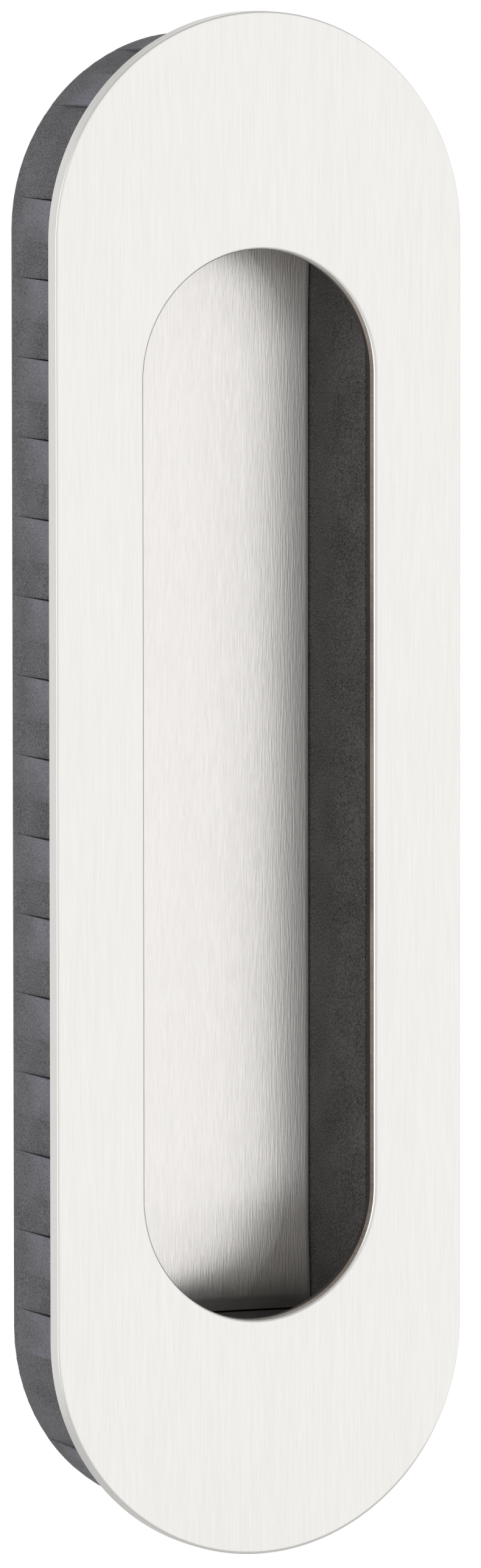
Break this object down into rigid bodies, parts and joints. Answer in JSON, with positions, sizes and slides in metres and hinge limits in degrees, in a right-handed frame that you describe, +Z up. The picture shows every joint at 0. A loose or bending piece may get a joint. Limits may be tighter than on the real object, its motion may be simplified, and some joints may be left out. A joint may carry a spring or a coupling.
{
  "type": "pocket door pull",
  "caption": "Oval flush pull for a sliding door: brushed cover plate with a long finger mouth over a moulded press-in tray.",
  "frame": {"origin": "middle of the cover plate's rear face, which lies on the door's surface", "axes": "+X across the pull, +Y into the door, +Z up along the pull's length"},
  "size_m": [0.045, 0.0171, 0.155],
  "materials": {
    "cover_steel": "fine brushing along the length",
    "floor_steel": "coarser brushing along the length, dished across",
    "tray_plastic": "moulded, fine spark-eroded grain",
    "bonding_tape": "black foam tape, die cut",
    "bonding_film": "thin double-sided film"
  },
  "bodies": {
    "root": {"cover_plate": "cover_steel", "cover_tape": "bonding_tape", "recess_tray": "tray_plastic", "floor_strip": "floor_steel", "floor_film": "bonding_film"}
  },
  "joints": []
}
